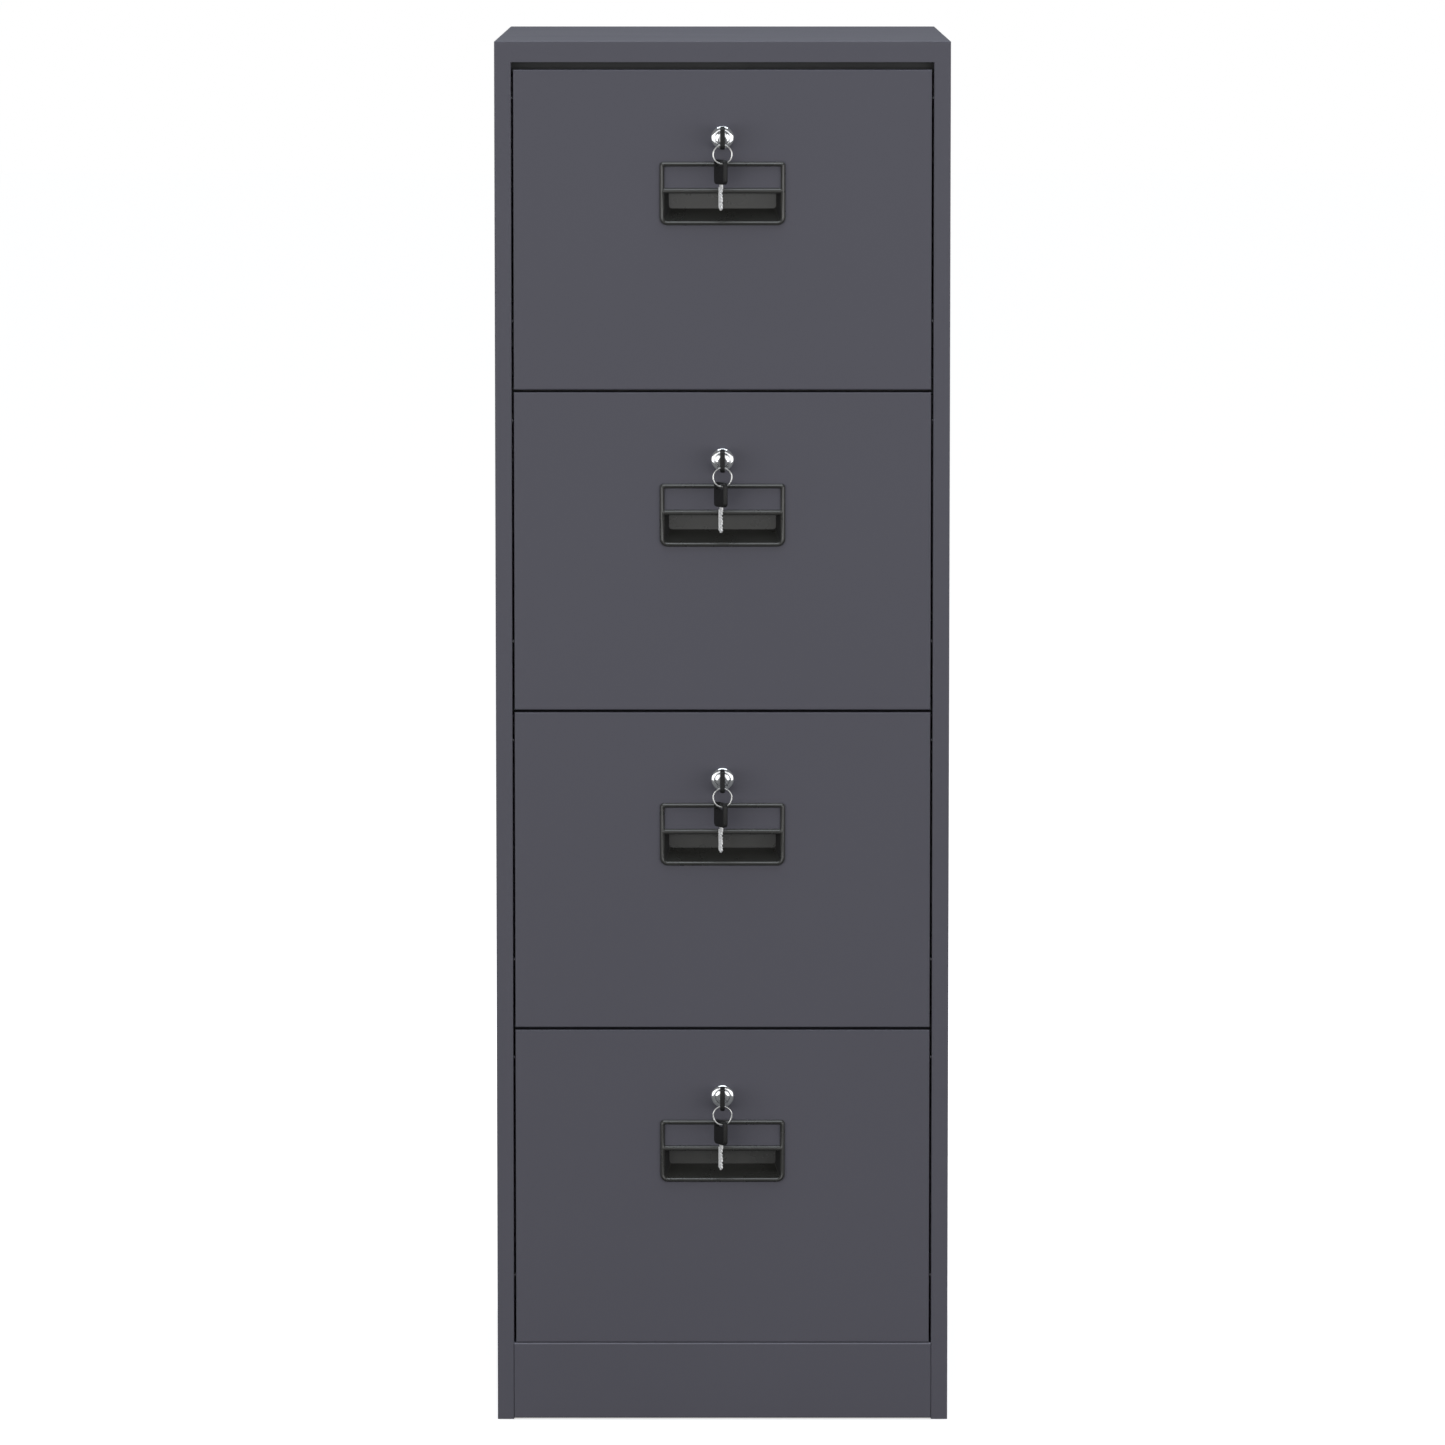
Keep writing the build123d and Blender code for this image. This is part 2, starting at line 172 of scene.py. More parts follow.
def drawLine(name, points):
    # one point, extruded from place to place
    objectMode()
    bpy.ops.object.select_all(action="DESELECT")
    bpy.ops.mesh.primitive_plane_add(size=0.001)
    piece = bpy.context.object
    piece.name = name
    bpy.ops.object.mode_set(mode="EDIT")
    bpy.ops.mesh.select_mode(type="VERT")
    bpy.ops.mesh.merge(type="CENTER")
    bpy.ops.transform.translate(value=points[0])
    for here, there in zip(points, points[1:]):
        step = Vector(there) - Vector(here)
        bpy.ops.mesh.extrude_vertices_move(TRANSFORM_OT_translate={"value": step})
    return piece


def turn(piece, centre, axis, steps=64):
    # spins the drawn outline all the way round and closes the seam
    takeUp(piece)
    bpy.ops.object.mode_set(mode="EDIT")
    bpy.ops.mesh.select_all(action="SELECT")
    bpy.ops.mesh.spin(steps=steps, angle=tau, center=centre, axis=axis)
    bpy.ops.mesh.select_all(action="SELECT")
    bpy.ops.mesh.remove_doubles(threshold=0.00001)
    bpy.ops.mesh.normals_make_consistent(inside=False)
    objectMode()
    return piece


def thicken(piece, direction):
    # fills a drawn outline and extrudes it
    takeUp(piece)
    bpy.ops.object.mode_set(mode="EDIT")
    bpy.ops.mesh.select_all(action="SELECT")
    bpy.ops.mesh.remove_doubles(threshold=0.00001)
    bpy.ops.mesh.edge_face_add()
    bpy.ops.mesh.extrude_region_move(TRANSFORM_OT_translate={"value": direction})
    bpy.ops.mesh.select_all(action="SELECT")
    bpy.ops.mesh.normals_make_consistent(inside=False)
    objectMode()
    return piece


def copyTo(piece, name, place):
    # place is a vector to move by, or a matrix
    twin = piece.copy()
    twin.data = piece.data.copy()
    twin.name = name
    bpy.context.scene.collection.objects.link(twin)
    twin.data.transform(place if isinstance(place, Matrix) else Matrix.Translation(place))
    return twin


def dress(piece, body, material, nodes=()):
    piece.data.materials.clear()
    piece.data.materials.append(material)
    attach(piece, body)
    if nodes:
        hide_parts(*nodes)


# materials

def newGroup(name, inputs, outputs):
    group = bpy.data.node_groups.new(name, "ShaderNodeTree")
    for label, value in inputs.items():
        socket = group.interface.new_socket(label, in_out="INPUT", socket_type="NodeSocketFloat")
        socket.default_value = value
    for label, kind in outputs.items():
        group.interface.new_socket(label, in_out="OUTPUT", socket_type=kind)
    return group, group.nodes.new("NodeGroupInput"), group.nodes.new("NodeGroupOutput")


def addNode(tree, kind, **settings):
    node = tree.nodes.new(kind)
    for key, value in settings.items():
        if hasattr(node, key):
            setattr(node, key, value)
        else:
            node.inputs[key].default_value = value
    return node


def noiseAt(tree, coordinates, scale, detail=3.0, roughness=0.5):
    noise = addNode(tree, "ShaderNodeTexNoise", Scale=scale, Detail=detail, Roughness=roughness)
    tree.links.new(coordinates, noise.inputs["Vector"])
    return noise


def rangeOf(tree, value, low, high, outLow, outHigh):
    remap = addNode(tree, "ShaderNodeMapRange")
    tree.links.new(value, remap.inputs["Value"])
    for label, number in (("From Min", low), ("From Max", high), ("To Min", outLow), ("To Max", outHigh)):
        if isinstance(number, (int, float)):
            remap.inputs[label].default_value = number
        else:
            tree.links.new(number, remap.inputs[label])
    return remap.outputs["Result"]


def mathOf(tree, operation, first, second):
    node = addNode(tree, "ShaderNodeMath", operation=operation)
    for socket, value in zip(node.inputs, (first, second)):
        if isinstance(value, (int, float)):
            socket.default_value = value
        else:
            tree.links.new(value, socket)
    return node.outputs["Value"]


def makeGrainGroup():
    # two sizes of bumps in one height, and a slow tone that drifts over the surface
    group, given, result = newGroup(
        "surfaceGrain",
        {"Large Scale": 300.0, "Fine Scale": 1500.0, "Fine Share": 0.4, "Tone Scale": 3.0},
        {"Height": "NodeSocketFloat", "Tone": "NodeSocketFloat"})
    place = group.nodes.new("ShaderNodeTexCoord")
    large = noiseAt(group, place.outputs["Object"], 300.0, 2.0)
    fine = noiseAt(group, place.outputs["Object"], 1500.0, 1.0)
    tone = noiseAt(group, place.outputs["Object"], 3.0, 4.0, 0.55)
    group.links.new(given.outputs["Large Scale"], large.inputs["Scale"])
    group.links.new(given.outputs["Fine Scale"], fine.inputs["Scale"])
    group.links.new(given.outputs["Tone Scale"], tone.inputs["Scale"])
    weighted = mathOf(group, "MULTIPLY", fine.outputs["Fac"], given.outputs["Fine Share"])
    total = mathOf(group, "ADD", large.outputs["Fac"], weighted)
    group.links.new(total, result.inputs["Height"])
    group.links.new(tone.outputs["Fac"], result.inputs["Tone"])
    return group


def makeDustGroup():
    # a mask for dust that settles on what faces up, broken up by noise
    group, given, result = newGroup(
        "settledDust", {"Amount": 0.1, "Scale": 14.0}, {"Mask": "NodeSocketFloat"})
    place = group.nodes.new("ShaderNodeTexCoord")
    way = group.nodes.new("ShaderNodeNewGeometry")
    split = group.nodes.new("ShaderNodeSeparateXYZ")
    group.links.new(way.outputs["Normal"], split.inputs["Vector"])
    patches = noiseAt(group, place.outputs["Object"], 14.0, 6.0, 0.6)
    group.links.new(given.outputs["Scale"], patches.inputs["Scale"])
    facing = rangeOf(group, split.outputs["Z"], 0.4, 1.0, 0.0, 1.0)
    broken = rangeOf(group, patches.outputs["Fac"], 0.35, 0.75, 0.15, 1.0)
    both = mathOf(group, "MULTIPLY", facing, broken)
    group.links.new(mathOf(group, "MULTIPLY", both, given.outputs["Amount"]), result.inputs["Mask"])
    return group


def makeScratchGroup():
    # fine hairlines along one direction, for metal that was rolled or brushed
    group, given, result = newGroup(
        "hairlines", {"Across": 900.0, "Along": 12.0}, {"Lines": "NodeSocketFloat"})
    place = group.nodes.new("ShaderNodeTexCoord")
    scale = group.nodes.new("ShaderNodeCombineXYZ")
    stretch = addNode(group, "ShaderNodeVectorMath", operation="MULTIPLY")
    group.links.new(given.outputs["Across"], scale.inputs["X"])
    group.links.new(given.outputs["Along"], scale.inputs["Y"])
    group.links.new(given.outputs["Across"], scale.inputs["Z"])
    group.links.new(place.outputs["Object"], stretch.inputs[0])
    group.links.new(scale.outputs["Vector"], stretch.inputs[1])
    lines = noiseAt(group, stretch.outputs["Vector"], 1.0, 2.0, 0.6)
    group.links.new(lines.outputs["Fac"], result.inputs["Lines"])
    return group


grain = makeGrainGroup()
dust = makeDustGroup()
hairlines = makeScratchGroup()


def useGroup(tree, group, **values):
    node = tree.nodes.new("ShaderNodeGroup")
    node.node_tree = group
    for label, value in values.items():
        node.inputs[label.replace("_", " ")].default_value = value
    return node


def mixColours(tree, share, first, second):
    mix = addNode(tree, "ShaderNodeMix", data_type="RGBA")
    tree.links.new(share, mix.inputs[0])
    for index, colour in ((6, first), (7, second)):
        if isinstance(colour, tuple):
            mix.inputs[index].default_value = (*colour, 1)
        else:
            tree.links.new(colour, mix.inputs[index])
    return mix.outputs[2]


def startMaterial(name, **shaderValues):
    material = bpy.data.materials.new(name)
    material.use_nodes = True
    tree = material.node_tree
    shader = tree.nodes["Principled BSDF"]
    for label, value in shaderValues.items():
        shader.inputs[label.replace("_", " ")].default_value = value
    return material, tree, shader


def addBump(tree, shader, height, strength, distance):
    bump = addNode(tree, "ShaderNodeBump", Strength=strength, Distance=distance)
    tree.links.new(height, bump.inputs["Height"])
    tree.links.new(bump.outputs["Normal"], shader.inputs["Normal"])


# the coat on every painted sheet: a fine orange peel in a blue grey, and a paler colour for a painted
# highlight along a fold
coatLook = {"dark": (0.0925, 0.0905, 0.114), "light": (0.0985, 0.0965, 0.121),
            "dustColour": (0.34, 0.33, 0.31), "roughLow": 0.46, "roughHigh": 0.56,
            "peelScale": 420.0, "fineScale": 1900.0, "fineShare": 0.35, "toneScale": 2.5,
            "peelDepth": 0.00004, "peelStrength": 0.35, "dustAmount": 0.05, "dustScale": 11.0,
            "foldHighlightColour": (0.18, 0.18, 0.22), "foldHighlightBand": 0.0018}


def makePowderCoat(name, foldZ=None):
    # foldZ is the height of a folded edge whose top band gets a painted highlight in a paler colour
    material, tree, shader = startMaterial(name, Specular_IOR_Level=0.45)
    bumps = useGroup(tree, grain, Large_Scale=coatLook["peelScale"], Fine_Scale=coatLook["fineScale"],
                     Fine_Share=coatLook["fineShare"], Tone_Scale=coatLook["toneScale"])
    settled = useGroup(tree, dust, Amount=coatLook["dustAmount"], Scale=coatLook["dustScale"])
    tone = rangeOf(tree, bumps.outputs["Tone"], 0.3, 0.7, 0.0, 1.0)
    colour = mixColours(tree, tone, coatLook["dark"], coatLook["light"])
    dustAndHighlight = mixColours(tree, settled.outputs["Mask"], colour, coatLook["dustColour"])
    if foldZ is not None:
        place = tree.nodes.new("ShaderNodeTexCoord")
        spot = tree.nodes.new("ShaderNodeSeparateXYZ")
        tree.links.new(place.outputs["Object"], spot.inputs["Vector"])
        # painted highlight: the top band of the fold is mixed to a paler colour
        band = coatLook["foldHighlightBand"]
        paintedHighlight = rangeOf(tree, spot.outputs["Z"], foldZ - band, foldZ - band / 2, 0.0, 1.0)
        dustAndHighlight = mixColours(tree, paintedHighlight, dustAndHighlight, coatLook["foldHighlightColour"])
    tree.links.new(dustAndHighlight, shader.inputs["Base Color"])
    rough = rangeOf(tree, bumps.outputs["Tone"], 0.3, 0.7, coatLook["roughLow"], coatLook["roughHigh"])
    tree.links.new(rough, shader.inputs["Roughness"])
    addBump(tree, shader, bumps.outputs["Height"], coatLook["peelStrength"], coatLook["peelDepth"])
    return material


# the flank colour is painted shade on the sideways walls of the handle pocket
mouldingLook = {"sparkScale": 1100.0, "fineScale": 3600.0, "fineShare": 0.6, "toneScale": 30.0,
                "sparkStrength": 0.3, "flankShadeColour": (0.006, 0.006, 0.006), "flankRough": 0.85,
                "flankFade": 0.002}


def maskFlankShade(tree, behind):
    # 1 on the sideways faces that lie behind the drawer fronts, inside the pocket, where painted shade
    # goes
    place = tree.nodes.new("ShaderNodeTexCoord")
    spot = tree.nodes.new("ShaderNodeSeparateXYZ")
    tree.links.new(place.outputs["Object"], spot.inputs["Vector"])
    way = tree.nodes.new("ShaderNodeNewGeometry")
    facing = tree.nodes.new("ShaderNodeSeparateXYZ")
    tree.links.new(way.outputs["True Normal"], facing.inputs["Vector"])
    sideways = rangeOf(tree, mathOf(tree, "ABSOLUTE", facing.outputs["X"], 0), 0.5, 0.7, 0.0, 1.0)
    deep = behind + mouldingLook["flankFade"]
    inside = rangeOf(tree, spot.outputs["Y"], behind, deep, 0.0, 1.0)
    return mathOf(tree, "MULTIPLY", sideways, inside)


def makeMoulding(name, dark, light, roughLow, roughHigh, depth, gloss=0.5, flank=None):
    # moulded plastic with a sparked grain; when flank names a place, the sideways walls in the pocket
    # behind it get painted shade, a near black colour, and a dull roughness
    material, tree, shader = startMaterial(name, Specular_IOR_Level=gloss)
    bumps = useGroup(tree, grain, Large_Scale=mouldingLook["sparkScale"],
                     Fine_Scale=mouldingLook["fineScale"], Fine_Share=mouldingLook["fineShare"],
                     Tone_Scale=mouldingLook["toneScale"])
    tone = rangeOf(tree, bumps.outputs["Tone"], 0.3, 0.7, 0.0, 1.0)
    colour = mixColours(tree, tone, dark, light)
    rough = rangeOf(tree, bumps.outputs["Tone"], 0.3, 0.7, roughLow, roughHigh)
    if flank is not None:
        # painted shade: near black mixed onto the pocket's side walls
        recess = maskFlankShade(tree, flank)
        colour = mixColours(tree, recess, colour, mouldingLook["flankShadeColour"])
        rough = rangeOf(tree, recess, 0.0, 1.0, rough, mouldingLook["flankRough"])
    tree.links.new(colour, shader.inputs["Base Color"])
    tree.links.new(rough, shader.inputs["Roughness"])
    addBump(tree, shader, bumps.outputs["Height"], mouldingLook["sparkStrength"], depth)
    return material


platedLook = {"across": 1400.0, "along": 25.0, "cloudScale": 60.0, "lineStrength": 0.25}


def makePlated(name, dark, light, roughLow, roughHigh, lineDepth, metal=1.0):
    # bright metal with faint hairlines and a cloudy sheen
    material, tree, shader = startMaterial(name, Metallic=metal)
    lines = useGroup(tree, hairlines, Across=platedLook["across"], Along=platedLook["along"])
    clouds = useGroup(tree, grain, Tone_Scale=platedLook["cloudScale"])
    both = mathOf(tree, "ADD", lines.outputs["Lines"], clouds.outputs["Tone"])
    share = rangeOf(tree, both, 0.7, 1.3, 0.0, 1.0)
    tree.links.new(mixColours(tree, share, dark, light), shader.inputs["Base Color"])
    tree.links.new(rangeOf(tree, both, 0.7, 1.3, roughLow, roughHigh), shader.inputs["Roughness"])
    addBump(tree, shader, lines.outputs["Lines"], platedLook["lineStrength"], lineDepth)
    return material


spangleLook = {"scale": 140.0, "dark": (0.44, 0.46, 0.48), "light": (0.62, 0.63, 0.64),
               "roughLow": 0.34, "roughHigh": 0.52, "bumpScale": 260.0, "fineScale": 900.0,
               "bumpStrength": 0.15, "bumpDepth": 0.00002}


def makeGalvanised():
    # zinc crystals of different brightness
    look = spangleLook
    material, tree, shader = startMaterial("galvanisedSteel", Metallic=1.0)
    place = tree.nodes.new("ShaderNodeTexCoord")
    crystals = addNode(tree, "ShaderNodeTexVoronoi", Scale=look["scale"], Randomness=1.0)
    tree.links.new(place.outputs["Object"], crystals.inputs["Vector"])
    split = tree.nodes.new("ShaderNodeSeparateColor")
    tree.links.new(crystals.outputs["Color"], split.inputs["Color"])
    spangle = split.outputs["Red"]
    tree.links.new(mixColours(tree, spangle, look["dark"], look["light"]), shader.inputs["Base Color"])
    rough = rangeOf(tree, spangle, 0.0, 1.0, look["roughLow"], look["roughHigh"])
    tree.links.new(rough, shader.inputs["Roughness"])
    bumps = useGroup(tree, grain, Large_Scale=look["bumpScale"], Fine_Scale=look["fineScale"])
    addBump(tree, shader, bumps.outputs["Height"], look["bumpStrength"], look["bumpDepth"])
    return material


powderCoat = makePowderCoat("powderCoat")
# the plinth's coat, with a painted highlight along its top fold
plinthHighlight = makePowderCoat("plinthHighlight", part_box("plinth")[1].z)
blackPlastic = makeMoulding("blackPlastic", (0.034, 0.034, 0.031), (0.042, 0.042, 0.039),
                            0.24, 0.34, 0.00001, 0.75, faceY - 0.001)  # painted shade and a dull roughness on the pocket's side walls from here back
keyPlastic = makeMoulding("keyPlastic", (0.012, 0.012, 0.012), (0.017, 0.017, 0.017),
                          0.40, 0.50, 0.00001, 0.3)
blackEnamel = makeMoulding("blackEnamel", (0.022, 0.023, 0.025), (0.028, 0.029, 0.031),
                           0.40, 0.52, 0.00003)
greyPlastic = makeMoulding("greyPlastic", (0.20, 0.20, 0.22), (0.25, 0.25, 0.27),
                           0.42, 0.55, 0.00002)
chrome = makePlated("chrome", (0.80, 0.81, 0.83), (0.88, 0.89, 0.90), 0.05, 0.12, 0.000001)
nickel = makePlated("nickel", (0.62, 0.62, 0.61), (0.74, 0.74, 0.73), 0.22, 0.36, 0.000002)
# the key blade: nickel made near white and barely metallic, a painted highlight that stands in for the
# lamps' reflection on it
bladeNickelHighlight = makePlated("bladeNickelHighlight", (0.95, 0.95, 0.95), (1.0, 1.0, 1.0),
                         0.28, 0.40, 0.000002, 0.1)
zincPlate = makePlated("zincPlate", (0.52, 0.54, 0.57), (0.66, 0.68, 0.70), 0.26, 0.42, 0.000006)
galvanised = makeGalvanised()
slotMaterials = {"powder_coat": powderCoat, "black_enamel": blackEnamel,
                 "black_plastic": blackPlastic, "grey_plastic": greyPlastic,
                 "chrome": chrome, "nickel": nickel, "zinc_plate": zincPlate,
                 "galvanised_steel": galvanised}

for subpart in frame["record"]["subparts"]:
    node = frame["nodes"][subpart["node"]]
    node.data.materials.clear()
    node.data.materials.append(slotMaterials[subpart["material_slot"]])
frame["nodes"]["plinth"].data.materials[0] = plinthHighlight
print("materials ready")


# handles

handleLook = {"bar": 0.0044, "divider": 0.005, "pocketHeight": 0.026, "pocketBackWidth": 0.1025,
              "pocketBackHeight": 0.015, "wall": 0.0012, "barRound": 0.0021, "barProfile": 0.36,
              "topCorner": 0.0035, "bottomCorner": 0.0075, "windowCorner": 0.001,
              "pocketCorner": 0.003, "past": 0.001}


def makeHandle():
    look = handleLook
    low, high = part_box("drawer_1_handle")
    inner = high.x - look["bar"]
    pocketLow = low.z + look["bar"]
    pocketHigh = pocketLow + look["pocketHeight"]
    windowLow = pocketHigh + look["divider"]
    windowHigh = high.z - look["bar"]
    middle = (low.z + high.z) / 2

    plate = addBlock("handle_1", low, (high.x, faceY, high.z))
    deep = runsAlong(1)
    roundEdges(plate, lambda a, b: deep(a, b) and a.z > middle, look["topCorner"], 6)
    roundEdges(plate, lambda a, b: deep(a, b) and a.z < middle and abs(a.x) > inner,
               look["bottomCorner"], 7)

    def pocketShape(wall, endY):
        # a block whose back is smaller and sits high, so that the floor slopes
        block = addBlock("pocket", (-inner - wall, faceY, pocketLow - wall),
                         (inner + wall, endY, pocketHigh + wall))
        pick(block, "FACE", lambda centre, normal: normal.y > 0.9)
        narrow = (look["pocketBackWidth"] / 2 + wall) / (inner + wall)
        flat = (look["pocketBackHeight"] + 2 * wall) / (look["pocketHeight"] + 2 * wall)
        bpy.ops.transform.resize(value=(narrow, 1, flat), center_override=(0, endY, pocketHigh + wall))
        objectMode()
        return block

    tub = pocketShape(look["wall"], high.y)
    join(plate, tub, "UNION")
    hollow = pocketShape(0, high.y - look["wall"])
    pick(hollow, "FACE", lambda centre, normal: normal.y < -0.9)
    reach = faceY - low.y + look["past"]
    bpy.ops.mesh.extrude_region_move(TRANSFORM_OT_translate={"value": (0, -reach, 0)})
    objectMode()
    half = (pocketLow + pocketHigh) / 2
    roundEdges(hollow, lambda a, b: deep(a, b) and max(a.z, b.z) < half,
               look["pocketCorner"], 5)
    join(plate, hollow, "DIFFERENCE")
    window = addBlock("window", (-inner, low.y - look["past"], windowLow),
                      (inner, faceY + look["past"], windowHigh))
    roundEdges(window, deep, look["windowCorner"], 4)
    join(plate, window, "DIFFERENCE")
    roundEdges(plate, lambda a, b: max(abs(a.y - low.y), abs(b.y - low.y)) < 0.00005,
               look["barRound"], 5, look["barProfile"])
    return shade(plate, 40)


handle = makeHandle()
for n in drawers:
    piece = handle if n == 1 else copyTo(handle, f"handle_{n}", drop[n])
    dress(piece, f"drawer_{n}", blackPlastic, [f"drawer_{n}_handle"])
print("handles done")


# locks: domed head, nut, plug and cam

lockLook = {"domeRadius": 0.0116, "domePower": 2.4, "rim": 0.0007, "bore": 0.0066, "chamfer": 0.0005,
            "barrelRadius": 0.0094, "threadPitch": 0.0012, "threadDepth": 0.0004, "domeSteps": 12,
            "nutFlats": 0.024, "nutHeight": 0.0042, "nutStart": 0.0008, "slotWidth": 0.0024,
            "slotHeight": 0.0086, "slotCorner": 0.0005, "slotFloor": 0.0012, "tail": 0.007,
            "plugRadius": 0.0065, "past": 0.001, "nutEdge": 0.0005, "camScrewRadius": 0.005,
            "camScrewStretch": 1.1}
plugLow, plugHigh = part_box("drawer_1_lock_plug")
lockX, lockZ = (plugLow.x + plugHigh.x) / 2, (plugLow.z + plugHigh.z) / 2
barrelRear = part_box("drawer_1_lock_body")[1].y


def makeLockBody():
    look = lockLook
    rimY = faceY - look["rim"]
    edge = look["bore"] + look["chamfer"]
    power = look["domePower"]
    outline = [(look["bore"], barrelRear), (look["bore"], plugLow.y + look["chamfer"])]
    for step in range(look["domeSteps"] + 1):
        share = sin(step / look["domeSteps"] * pi / 2)  # flat at the bore, steep at the rim
        fall = max(0.0, 1 - share ** power) ** (1 / power)
        outline.append((edge + (look["domeRadius"] - edge) * share, rimY + (plugLow.y - rimY) * fall))
    outline += [(look["domeRadius"], faceY), (look["barrelRadius"], faceY)]
    y = faceY + look["nutStart"]
    while y + look["threadPitch"] < barrelRear - look["threadPitch"]:
        outline.append((look["barrelRadius"], y))
        outline.append((look["barrelRadius"] - look["threadDepth"], y + look["threadPitch"] / 2))
        y += look["threadPitch"]
    outline += [(look["barrelRadius"] - look["threadDepth"], barrelRear), (look["bore"], barrelRear)]
    body = drawLine("lock_body_1", [(lockX + r, y, lockZ) for r, y in outline])
    turn(body, (lockX, 0, lockZ), (0, 1, 0))
    return shade(body, 28)


def makeNut():
    look = lockLook
    start = (lockX, faceY + look["nutStart"], lockZ)
    end = (lockX, faceY + look["nutStart"] + look["nutHeight"], lockZ)
    nut = addRod("lock_nut_1", start, end, look["nutFlats"] / 2 / cos(pi / 6), 6)
    hole = addRod("hole", (lockX, start[1] - look["past"], lockZ), (lockX, end[1] + look["past"], lockZ),
                  look["barrelRadius"] - look["threadDepth"] / 2)
    join(nut, hole, "DIFFERENCE")
    softenAll(nut, look["nutEdge"], 2, 50)
    return shade(nut)


def makePlug():
    look = lockLook
    plug = addRod("lock_plug_1", (lockX, plugLow.y, lockZ), (lockX, barrelRear, lockZ),
                  look["plugRadius"], 56)
    roundEdges(plug, lambda a, b: max(a.y, b.y) < plugLow.y + 0.0001, look["chamfer"], 2)
    half = look["tail"] / 2
    tail = addBlock("tail", (lockX - half, barrelRear - look["past"], lockZ - half),
                    (lockX + half, plugHigh.y, lockZ + half))
    join(plug, tail, "UNION")
    wide, tall = look["slotWidth"] / 2, look["slotHeight"] / 2
    slot = addBlock("slot", (lockX - wide, plugLow.y - look["past"], lockZ - tall),
                    (lockX + wide, barrelRear - look["slotFloor"], lockZ + tall))
    roundEdges(slot, runsAlong(1), look["slotCorner"], 2)
    join(plug, slot, "DIFFERENCE")
    return shade(plug)


screwLook = {"radius": 0.0035, "height": 0.0022, "shank": 0.0019, "length": 0.004, "recess": 0.0042,
             "recessWidth": 0.0009, "recessDepth": 0.0013, "recessTaper": 0.6,
             "headCurve": ((0, 1), (0.45, 0.97), (0.75, 0.84), (0.94, 0.55), (1, 0.2), (0.98, 0)),
             "shankCurve": ((1, 0), (1, 0.85), (0.6, 1), (0, 1))}


def makeScrew():
    # a pan-head screw with a cross recess, its head on y = 0 and facing +Y
    look = screwLook
    top = look["height"]
    outline = [(look["radius"] * r, top * y) for r, y in look["headCurve"]]
    outline += [(look["shank"] * r, -look["length"] * y) for r, y in look["shankCurve"]]
    screw = turn(drawLine("screw", [(r, y, 0) for r, y in outline]), (0, 0, 0), (0, 1, 0), 32)
    half, wide = look["recess"] / 2, look["recessWidth"] / 2
    for size in ((half, wide), (wide, half)):
        arm = addBlock("arm", (-size[0], top - look["recessDepth"], -size[1]),
                       (size[0], top + 0.001, size[1]))
        pick(arm, "FACE", lambda centre, normal: normal.y < -0.9)
        taper = look["recessTaper"]
        bpy.ops.transform.resize(value=(taper, 1, taper),
                                 center_override=(0, top - look["recessDepth"], 0))
        objectMode()
        join(screw, arm, "DIFFERENCE")
    return shade(screw, 30)


camLook = {"thickness": 0.002, "width": 0.014, "eye": 0.009, "tipRound": 0.005, "edge": 0.0003}
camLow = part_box("drawer_1_lock_cam")[0]


def makeCam():
    look = camLook
    cam = addBlock("lock_cam_1", (camLow.x, camLow.y, lockZ - look["width"] / 2),
                   (lockX, camLow.y + look["thickness"], lockZ + look["width"] / 2))
    deep = runsAlong(1)
    roundEdges(cam, lambda a, b: deep(a, b) and a.x < camLow.x + look["edge"], look["tipRound"], 6)
    eye = addRod("eye", (lockX, camLow.y, lockZ), (lockX, camLow.y + look["thickness"], lockZ),
                 look["eye"])
    join(cam, eye, "UNION")
    softenAll(cam, look["edge"], 2, 50)
    return shade(cam)


screw = makeScrew()
lockPieces = {"lock_body": makeLockBody(), "lock_nut": makeNut(),
              "lock_plug": makePlug(), "lock_cam": makeCam()}
growth = lockLook["camScrewRadius"] / screwLook["radius"]
camScrewPlace = (Matrix.Translation((lockX, camLow.y + camLook["thickness"], lockZ))
                 @ Matrix.Diagonal((growth, lockLook["camScrewStretch"], growth, 1)))
lockPieces["lock_cam_screw"] = copyTo(screw, "lock_cam_screw_1", camScrewPlace)
lockDress = {"lock_body": ("drawer", "chrome", chrome, ["lock_body"]),
             "lock_nut": ("drawer", "zinc_plate", zincPlate, []),
             "lock_plug": ("lock", "chrome", chrome, ["lock_plug"]),
             "lock_cam": ("lock", "zinc_plate", zincPlate, ["lock_cam"]),
             "lock_cam_screw": ("lock", "zinc_plate", zincPlate, [])}
for kind, pattern in lockPieces.items():
    body, slot, material, nodes = lockDress[kind]
    for n in drawers:
        piece = pattern if n == 1 else copyTo(pattern, f"{kind}_{n}", drop[n])
        dress(piece, f"{body}_{n}", material, [f"drawer_{n}_{node}" for node in nodes])
print("locks done")


# keys: moulded head and cut blade, drawn with x along the blade and y across the head

keyLook = {"headLength": 0.0236, "headWidth": 0.0214, "headThickness": 0.0046, "corner": 0.004,
           "slotLength": 0.0166, "slotWidth": 0.0045, "slotRound": 0.002205, "slotMargin": 0.0022,
           "rim": 0.0011, "edge": 0.0004, "neck": 0.0026, "neckDepth": 0.0022, "neckSlope": 0.0006,
           "bladeLength": 0.0247, "bladeWidth": 0.0066, "bladeThickness": 0.0017,
           "bladeRoot": 0.0008, "bladeEdge": 0.00012, "tipLength": 0.0028,
           "tipCurve": ((-0.0006, -0.0009), (0, 0.0001), (-0.0004, 0.0009)),
           "firstCut": 0.0022, "cutStart": 0.0004, "cutSlope": 0.36, "cutFlat": 0.62,
           "cutDepths": (0.0013, 0.0022, 0.0009, 0.0018, 0.0024, 0.0012), "cutSpacing": 0.0031,
           "grooves": ((-0.0013, 0.0010), (0.0006, 0.0007)), "grooveDepth": 0.0005,
           "grooveStart": 0.0016, "past": 0.001}


